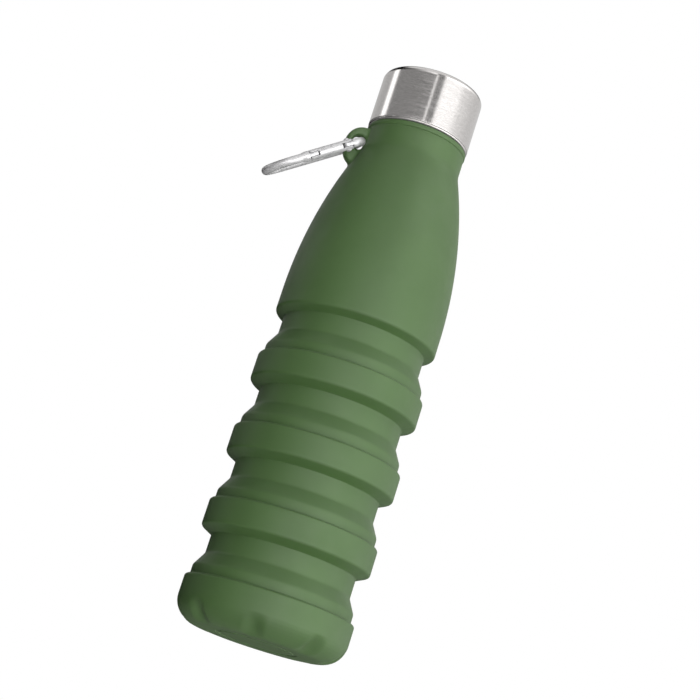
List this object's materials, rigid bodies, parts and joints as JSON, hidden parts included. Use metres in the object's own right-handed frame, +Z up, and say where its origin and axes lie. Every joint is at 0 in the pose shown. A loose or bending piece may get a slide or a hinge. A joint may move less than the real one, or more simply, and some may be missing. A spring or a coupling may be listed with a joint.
{
  "type": "folding water bottle",
  "caption": "Soft folding bottle with thick bands joined by thin fold walls, a bell-shaped shoulder, a steel screw cap, and a small carabiner through a moulded ear.",
  "frame": {"origin": "centre of the base's underside, on the surface the bottle stands on", "axes": "+Z up the bottle's axis towards the cap; the carry ear and the carabiner point along -X"},
  "size_m": [0.0935, 0.07, 0.2453],
  "materials": {
    "silicone": "matte moulded silicone, olive green",
    "cap_steel": "brushed round the axis",
    "cap_plastic": "moulded polypropylene",
    "collar_plastic": "moulded polypropylene",
    "gasket_silicone": "clear-white silicone",
    "carabiner_aluminium": "bright tumbled aluminium",
    "spring_steel": "drawn steel wire"
  },
  "bodies": {
    "base": {"base_cup": "silicone", "fold_wall_1": "silicone"},
    "band_1": {"fold_ring_1": "silicone", "fold_wall_2": "silicone"},
    "band_2": {"fold_ring_2": "silicone", "fold_wall_3": "silicone"},
    "band_3": {"fold_ring_3": "silicone", "fold_wall_4": "silicone"},
    "upper": {"shoulder": "silicone", "carry_ear": "silicone", "neck_collar": "collar_plastic"},
    "gasket": {"cap_gasket": "gasket_silicone"},
    "cap": {"cap_shell": "cap_steel", "cap_liner": "cap_plastic"},
    "carabiner": {"carabiner_frame": "carabiner_aluminium"},
    "gate": {"carabiner_gate": "carabiner_aluminium", "gate_rivet": "carabiner_aluminium", "latch_pin": "carabiner_aluminium", "gate_plunger": "cap_plastic", "gate_spring": "spring_steel"}
  },
  "joints": [
    {"name": "fold_1", "type": "slide", "parent": "base", "child": "band_1", "axis": [0, 0, 1], "range_m": [-0.0185, 0], "deforming": ["fold_wall_1"]},
    {"name": "fold_2", "type": "slide", "parent": "band_1", "child": "band_2", "axis": [0, 0, 1], "range_m": [-0.0185, 0], "deforming": ["fold_wall_2"]},
    {"name": "fold_3", "type": "slide", "parent": "band_2", "child": "band_3", "axis": [0, 0, 1], "range_m": [-0.0185, 0], "deforming": ["fold_wall_3"]},
    {"name": "fold_4", "type": "slide", "parent": "band_3", "child": "upper", "axis": [0, 0, 1], "range_m": [-0.0185, 0], "deforming": ["fold_wall_4"]},
    {"name": "cap_rise", "type": "slide", "parent": "upper", "child": "gasket", "axis": [0, 0, 1], "range_m": [0, 0.04]},
    {"name": "cap_turn", "type": "hinge", "parent": "gasket", "child": "cap", "pos_m": [0, 0, 0.23], "axis": [0, 0, 1], "range_deg": [0, 1800.5]},
    {"name": "carabiner_swing", "type": "hinge", "parent": "upper", "child": "carabiner", "pos_m": [-0.0237, 0, 0.2092], "axis": [0, 1, 0], "range_deg": [-30, 115]},
    {"name": "gate_open", "type": "hinge", "parent": "carabiner", "child": "gate", "pos_m": [-0.0298, -0.00916, 0.20322], "axis": [0.6196, 0.0958, -0.779], "range_deg": [0, 40], "stiffness_Nm_per_rad": 0.04, "springref_deg": -22.92}
  ],
  "couplings": [
    {"joint": "cap_turn", "follows": "cap_rise", "rad_per_m": 785.4}
  ]
}
